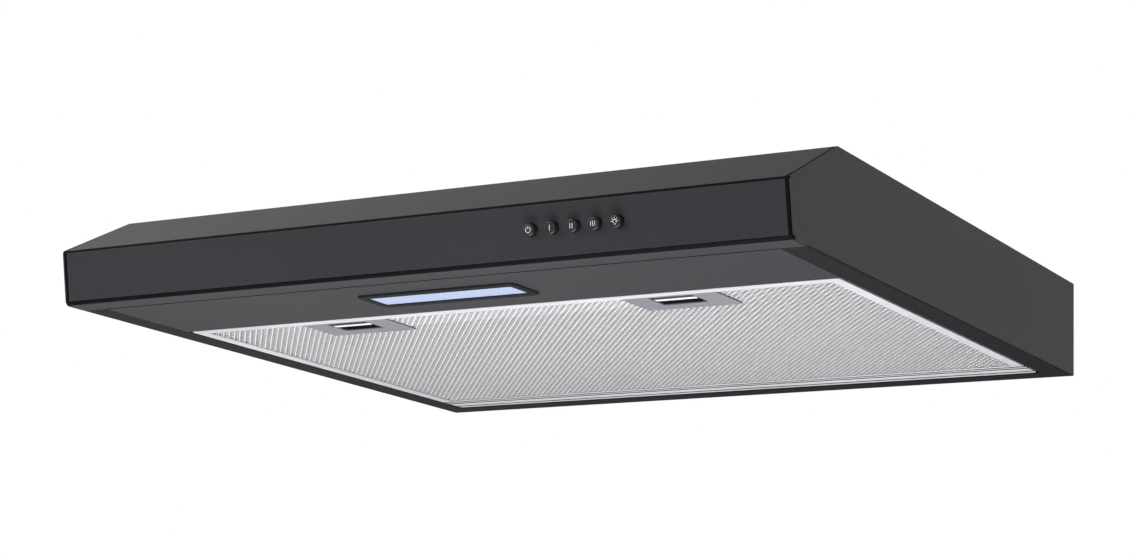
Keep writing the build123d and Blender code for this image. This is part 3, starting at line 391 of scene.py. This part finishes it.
def strand(row, x_from, x_to, y_middle):
    """One strand of expanded metal from x_from to x_to.
    Its line is y = y_middle + half a row x cos(turn), turn = 2 pi x / long way, shifted half a turn
    in every second row, so that neighbours meet at the knots. Its flat section is widest at the knots
    and a little raised there, and is twisted between them."""
    count = max(int(round((x_to - x_from) / LONG_WAY * STATIONS)), 2)
    x = np.linspace(x_from, x_to, count + 1)
    turn = 2 * np.pi * x / LONG_WAY + np.pi * (row % 2)
    y = y_middle + 0.5 * ROW_PITCH * np.cos(turn)
    z = SHEET_Z + KNOT_LIFT * np.cos(2 * turn)
    tilt = STRAND_TILT + STRAND_TWIST * np.sin(turn)
    half_width = 0.5 * STRAND_WIDTH * (1.0 + KNOT_WIDENING * np.cos(2 * turn))
    corners = []
    for across, through in ((-1, -1), (1, -1), (1, 1), (-1, 1)):
        dy = across * half_width
        dz = through * 0.5 * STRAND_THICK
        corners.append(np.stack([x, y + dy * np.cos(tilt) - dz * np.sin(tilt),
                                 z + dy * np.sin(tilt) + dz * np.cos(tilt)], -1))
    return np.stack(corners, 1).reshape(-1, 3), tube_quads(count + 1, 4)


def row_spans(y, low_x, high_x):
    """Runs of x that one strand covers: it stops at the cups of the latches."""
    spans = [(low_x, high_x)]
    for lo, hi in CUPS:
        middle = (lo[0] + hi[0]) / 2
        if lo[1] - ROW_PITCH < y < lo[1] + CUP_DEPTH:
            before, after = [], []
            for a, b in spans:
                if a < middle < b:
                    before.append((a, middle - CUP_HALF))
                    after.append((middle + CUP_HALF, b))
                else:
                    before.append((a, b))
            spans = sorted(before + after)
    return spans


def mesh_sheet(part):
    """One of the equal parts of the sheet of expanded metal that fills the filter frame's window."""
    low_x = FRAME_LO[0] + BORDER_SIDE - SIDE_TUCK
    high_x = FRAME_HI[0] - BORDER_SIDE + SIDE_TUCK
    low_y = FRAME_LO[1] + BORDER_FRONT
    high_y = MESH_HI[1] - BORDER_REAR + REAR_TUCK
    rows = int((high_y - low_y) / ROW_PITCH) + 1
    strands = []
    for row in range(rows * part // SHEET_PARTS, rows * (part + 1) // SHEET_PARTS):
        y = low_y + row * ROW_PITCH
        strands += [strand(row, x_from, x_to, y) for x_from, x_to in row_spans(y, low_x, high_x)]
    points, quads = join_tubes(strands)
    return build_piece(f"mesh_outer_{part}", points, quads, FINISHES["filter_mesh"])


def make_mesh():
    """The open lower sheet of the filter, in place of the closed one."""
    parts = [mesh_sheet(part) for part in range(SHEET_PARTS)]
    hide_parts("filter_mesh_lower")
    for piece in parts:
        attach(piece, "filter")


# ---- button marks --------------------------------------------------------------------------------
FACE_DEPTH = 0.05 * MM
STROKE = 0.42
STROKE_HEIGHT = 0.06
MARK_SCALE = 1.3
MARK_SINK = 0.01 * MM


def cap_face(node, outward):
    """Centre of a button's outer face: the middle of the mesh points furthest along outward."""
    mesh = NODES[node].data
    points = np.empty(len(mesh.vertices) * 3)
    mesh.vertices.foreach_get("co", points)
    points = points.reshape(-1, 3)
    reach = points @ np.array(outward)
    face = points[reach > reach.max() - FACE_DEPTH]
    return (face.max(0) + face.min(0)) / 2


def ribbon(path, width, height):
    """Flat raised ribbon along a path in the plane: (n, 2) points to points and quads of a closed tube."""
    along = np.gradient(path, axis=0)
    along /= np.linalg.norm(along, axis=1)[:, None]
    side = np.stack([-along[:, 1], along[:, 0]], 1) * width / 2
    rings = []
    for sign, level in ((-1, 0.0), (1, 0.0), (1, height), (-1, height)):
        rings.append(np.column_stack([path + sign * side, np.full(len(path), level)]))
    return np.stack(rings, 1).reshape(-1, 3), tube_quads(len(path), 4)


def arc(radius, start, end, steps=20):
    """Points of an arc about the origin, angles in degrees."""
    t = np.radians(np.linspace(start, end, steps))
    return np.stack([radius * np.cos(t), radius * np.sin(t)], 1)


def bar(x0, y0, x1, y1):
    """Points of a straight stroke."""
    return np.array([[x0, y0], [(x0 + x1) / 2, (y0 + y1) / 2], [x1, y1]])


BULB = [arc(1.0, -50, 230), bar(-0.6, -1.35, 0.6, -1.35)]
RAYS = [bar(1.4 * math.cos(a), 1.4 * math.sin(a) + 0.1, 2.2 * math.cos(a), 2.2 * math.sin(a) + 0.1)
        for a in np.radians([0, 45, 90, 135, 180])]
MARKS = [
    [arc(1.5, 120, 420), bar(0, 0.3, 0, 2.0)],
    [bar(0, -1.5, 0, 1.5)],
    [bar(-0.7, -1.4, -0.7, 1.4), bar(0.7, -1.4, 0.7, 1.4)],
    [bar(-1.2, -1.2, -1.2, 1.2), bar(0, -1.4, 0, 1.4), bar(1.2, -1.2, 1.2, 1.2)],
    BULB + RAYS,
]


def make_marks():
    """White printed marks on the five caps: off, three fan speeds and the lamp; strokes are in mm."""
    right = Vector((1, 0, 0))
    for number, strokes in enumerate(MARKS, start=1):
        outward = -joint_axis(f"button_{number}_press")
        upward = outward.cross(right)
        flat, quads = join_tubes([ribbon(MARK_SCALE * path, STROKE, STROKE_HEIGHT) for path in strokes])
        flat = flat * MM
        placed = (cap_face(f"button_{number}", outward) + flat[:, :1] * np.array(right)
                  + flat[:, 1:2] * np.array(upward) + (flat[:, 2:3] - MARK_SINK) * np.array(outward))
        piece = build_piece(f"mark_{number}", placed, quads, MARK_WHITE, smooth=False)
        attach(piece, f"push_button_{number}")


# ---- light and floor --------------------------------------------------------------------------------
FLOOR_Z = -0.95
FLOOR_HALF = 2.2
BASE_LEVEL = 0.3
SIDE_GAIN = 1.6
RIGHT_GAIN = 2.5
REAR_LOSS = 0.75
HIGHEST_LEVEL = 1.5
OVERHEAD_LOSS = 0.5
HORIZON_SLOPE = 4.0
HORIZON_LEVEL = 0.9
GROUND_LEVEL = 0.15


def make_surround():
    """White to the eye; its light grows to the sides, most to the right, and is weak from behind, from
    overhead and from the ground."""
    world = bpy.data.worlds.new("studio")
    bpy.context.scene.world = world
    world.use_nodes = True
    tree = world.node_tree
    background = tree.nodes["Background"]
    background.inputs["Color"].default_value = (1, 1, 1, 1)
    coords = tree.nodes.new("ShaderNodeTexCoord")
    split = tree.nodes.new("ShaderNodeSeparateXYZ")
    tree.links.new(coords.outputs["Generated"], split.inputs["Vector"])
    x, y, z = split.outputs["X"], split.outputs["Y"], split.outputs["Z"]
    to_right, to_rear, upward = (math_node(tree, "MAXIMUM", axis, 0.0) for axis in (x, y, z))
    side = math_node(tree, "MULTIPLY_ADD", math_node(tree, "ABSOLUTE", x), SIDE_GAIN, BASE_LEVEL)
    right = math_node(tree, "MULTIPLY_ADD", to_right, RIGHT_GAIN, 1.0)
    rear = math_node(tree, "MULTIPLY_ADD", to_rear, -REAR_LOSS, 1.0)
    around = math_node(tree, "MINIMUM", fold(tree, "MULTIPLY", side, right, rear), HIGHEST_LEVEL)
    overhead = math_node(tree, "MULTIPLY_ADD", upward, -OVERHEAD_LOSS, 1.0)
    horizon = math_node(tree, "MULTIPLY_ADD", z, HORIZON_SLOPE, HORIZON_LEVEL, clamp=True)
    ground = math_node(tree, "MAXIMUM", horizon, GROUND_LEVEL)
    blend = tree.nodes.new("ShaderNodeMix")
    tree.links.new(tree.nodes.new("ShaderNodeLightPath").outputs["Is Camera Ray"], blend.inputs["Factor"])
    tree.links.new(fold(tree, "MULTIPLY", around, overhead, ground), blend.inputs["A"])
    blend.inputs["B"].default_value = 1.0
    tree.links.new(blend.outputs["Result"], background.inputs["Strength"])


def add_panel(name, place, aim, size, power):
    """A square area light aimed at a point."""
    light = bpy.data.lights.new(name, "AREA")
    light.size = size
    light.energy = power
    lamp = bpy.data.objects.new(name, light)
    lamp.location = place
    lamp.rotation_mode = "QUATERNION"
    lamp.rotation_quaternion = (Vector(aim) - Vector(place)).to_track_quat("-Z", "Y")
    lamp.visible_camera = False
    bpy.context.scene.collection.objects.link(lamp)


def make_stage():
    """Pale floor well below the hood, the surround and three soft panels of light."""
    make_surround()
    floor_material, _, _ = new_material("pale_floor", (0.78, 0.78, 0.79), 0.7)
    corners = [[sx * FLOOR_HALF, sy * FLOOR_HALF, FLOOR_Z] for sx, sy in ((-1, -1), (1, -1), (1, 1), (-1, 1))]
    floor = build_piece("floor", corners, np.array([[0, 1, 2, 3]]), floor_material, smooth=False)
    add_panel("key_panel", (-1.6, -2.2, 1.6), (0, 0, 0), 2.0, 38.0)
    add_panel("side_panel_light", (2.6, 0.2, 0.7), (0.2, 0, 0), 1.5, 15.0)
    add_panel("low_panel", (0.1, -0.35, -0.9), (0, 0, 0), 0.9, 20.0)


# ---- camera --------------------------------------------------------------------------------------------
AZIMUTH = math.radians(26.895)
ELEVATION = math.radians(-13.147)
ROLL = math.radians(1.530)
CAMERA_PLACE = (0.96370, -1.57730, -0.42497)
SENSOR = 36.0
LENS = 75.897
SHIFT = (-0.2068, -0.0235)


def make_camera():
    """Camera below the hood's front right corner, looking up at its underside."""
    back = Vector((math.sin(AZIMUTH) * math.cos(ELEVATION), -math.cos(AZIMUTH) * math.cos(ELEVATION),
                   math.sin(ELEVATION)))
    data = bpy.data.cameras.new("camera")
    data.sensor_width = SENSOR
    data.lens = LENS
    data.shift_x, data.shift_y = SHIFT
    data.clip_start = 0.05
    camera = bpy.data.objects.new("camera", data)
    camera.location = CAMERA_PLACE
    camera.rotation_mode = "QUATERNION"
    camera.rotation_quaternion = (-back).to_track_quat("-Z", "Y") @ Quaternion((0, 0, 1), ROLL)
    bpy.context.scene.collection.objects.link(camera)
    bpy.context.scene.camera = camera


make_camera()
make_stage()
dress_frame()
make_mesh()
make_marks()
bpy.context.scene.view_settings.view_transform = "Standard"
